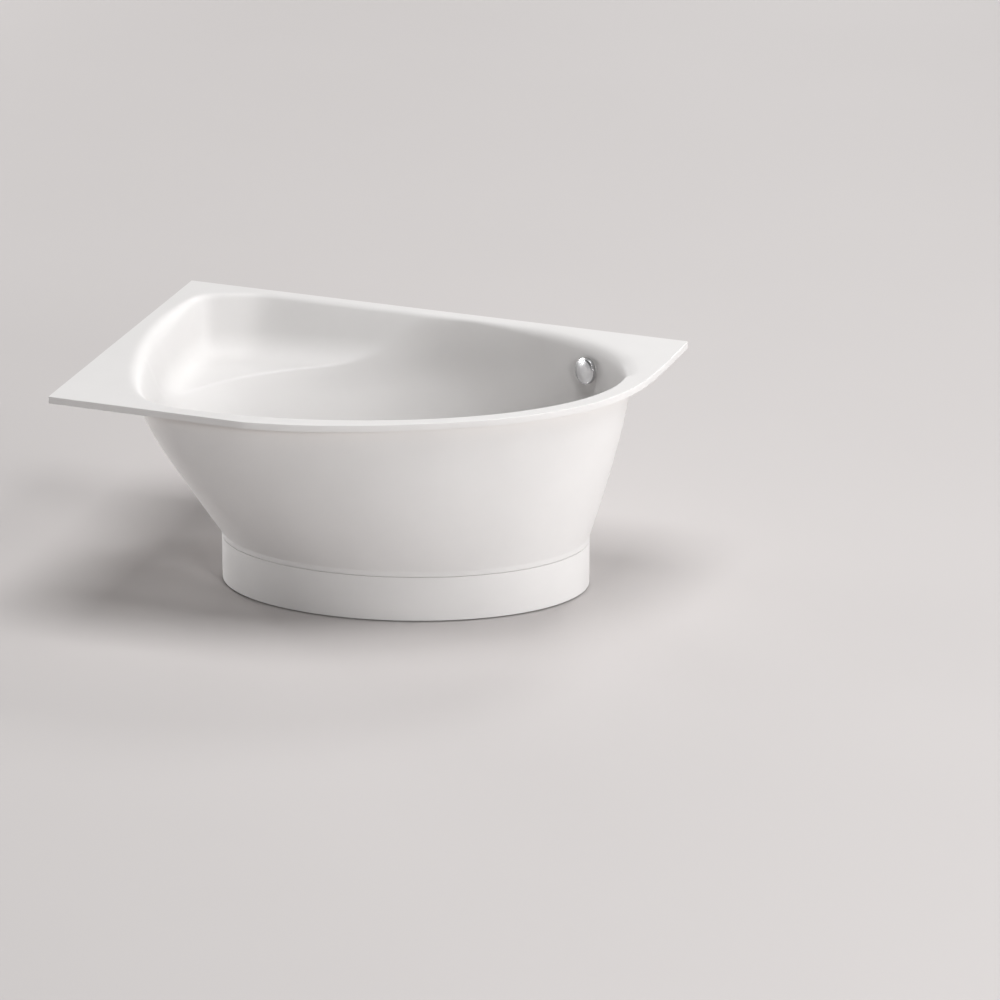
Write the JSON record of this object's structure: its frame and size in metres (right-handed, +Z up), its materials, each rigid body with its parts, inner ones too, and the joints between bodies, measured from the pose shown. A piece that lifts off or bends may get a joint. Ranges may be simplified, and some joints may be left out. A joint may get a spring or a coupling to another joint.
{
  "type": "corner bathtub",
  "caption": "Asymmetric corner bathtub: thin flat rim, oval basin with a corner armrest, egg-shaped outer body on an oval plinth, pop-up waste and turn-knob overflow.",
  "frame": {"origin": "middle of the rim rectangle in plan, on the floor under the feet", "axes": "+Z up; +X along the long rim side towards the right-hand tip; +Y towards the back wall. The room corner is at -X, +Y."},
  "size_m": [1.5, 1, 0.63],
  "materials": {
    "acrylic": "glossy sanitary acrylic, backed",
    "board": "sealed board",
    "zinc_steel": "zinc plated",
    "pad_plastic": "moulded",
    "chrome": "polished, lightly satin",
    "brass": "turned",
    "seal_rubber": "moulded",
    "pipe_plastic": "moulded",
    "hose_plastic": "moulded",
    "cable_plastic": "moulded"
  },
  "bodies": {
    "tub": {"basin_shell": "acrylic", "rim_stiffener": "board", "outer_skirt": "acrylic", "plinth_ring": "acrylic", "overflow_hose": "hose_plastic", "control_cable": "cable_plastic", "base_board": "board", "front_rail": "zinc_steel", "back_rail": "zinc_steel", "cross_rail": "zinc_steel", "rail_screws": "zinc_steel", "plinth_clips": "zinc_steel", "waste_gasket": "seal_rubber", "waste_flange": "chrome", "lower_gasket": "seal_rubber", "waste_body": "pipe_plastic", "lever_pin": "zinc_steel", "stem_guide": "pipe_plastic", "trap_cup": "pipe_plastic", "outlet_pipe": "pipe_plastic", "outlet_nut": "pipe_plastic", "overflow_ring": "pipe_plastic", "overflow_seal": "seal_rubber", "overflow_cup": "pipe_plastic", "weld_nut_1": "zinc_steel", "weld_nut_2": "zinc_steel", "weld_nut_3": "zinc_steel", "weld_nut_4": "zinc_steel", "weld_nut_5": "zinc_steel", "foot_lock_nut_1": "zinc_steel", "foot_lock_nut_2": "zinc_steel", "foot_lock_nut_3": "zinc_steel", "foot_lock_nut_4": "zinc_steel", "foot_lock_nut_5": "zinc_steel"},
    "knob": {"overflow_knob": "chrome", "knob_spindle": "brass", "cable_drum": "pipe_plastic"},
    "plug": {"waste_plug": "chrome", "plug_stem": "brass", "plug_seal": "seal_rubber"},
    "lever": {"lift_lever": "pipe_plastic"},
    "foot_1": {"foot_rod_1": "zinc_steel", "foot_pad_1": "pad_plastic"},
    "foot_2": {"foot_rod_2": "zinc_steel", "foot_pad_2": "pad_plastic"},
    "foot_3": {"foot_rod_3": "zinc_steel", "foot_pad_3": "pad_plastic"},
    "foot_4": {"foot_rod_4": "zinc_steel", "foot_pad_4": "pad_plastic"},
    "foot_5": {"foot_rod_5": "zinc_steel", "foot_pad_5": "pad_plastic"}
  },
  "joints": [
    {"name": "knob_turn", "type": "hinge", "parent": "tub", "child": "knob", "pos_m": [0.49641, 0.38914, 0.55], "axis": [-0.4886, -0.8601, 0.1467], "range_deg": [0, 90]},
    {"name": "plug_lift", "type": "slide", "parent": "tub", "child": "plug", "axis": [0, 0, 1], "range_m": [0, 0.01]},
    {"name": "lever_swing", "type": "hinge", "parent": "tub", "child": "lever", "pos_m": [0.36215, 0.09592, 0.121], "axis": [0.283, 0.9591, 0], "range_deg": [0, 17.6]},
    {"name": "foot_1_height", "type": "slide", "parent": "tub", "child": "foot_1", "axis": [0, 0, -1], "range_m": [0, 0.015]},
    {"name": "foot_2_height", "type": "slide", "parent": "tub", "child": "foot_2", "axis": [0, 0, -1], "range_m": [0, 0.015]},
    {"name": "foot_3_height", "type": "slide", "parent": "tub", "child": "foot_3", "axis": [0, 0, -1], "range_m": [0, 0.015]},
    {"name": "foot_4_height", "type": "slide", "parent": "tub", "child": "foot_4", "axis": [0, 0, -1], "range_m": [0, 0.015]},
    {"name": "foot_5_height", "type": "slide", "parent": "tub", "child": "foot_5", "axis": [0, 0, -1], "range_m": [0, 0.015]}
  ],
  "couplings": [
    {"joint": "plug_lift", "follows": "knob_turn", "m_per_rad": 0.0063662},
    {"joint": "lever_swing", "follows": "knob_turn", "ratio": 0.19556}
  ]
}
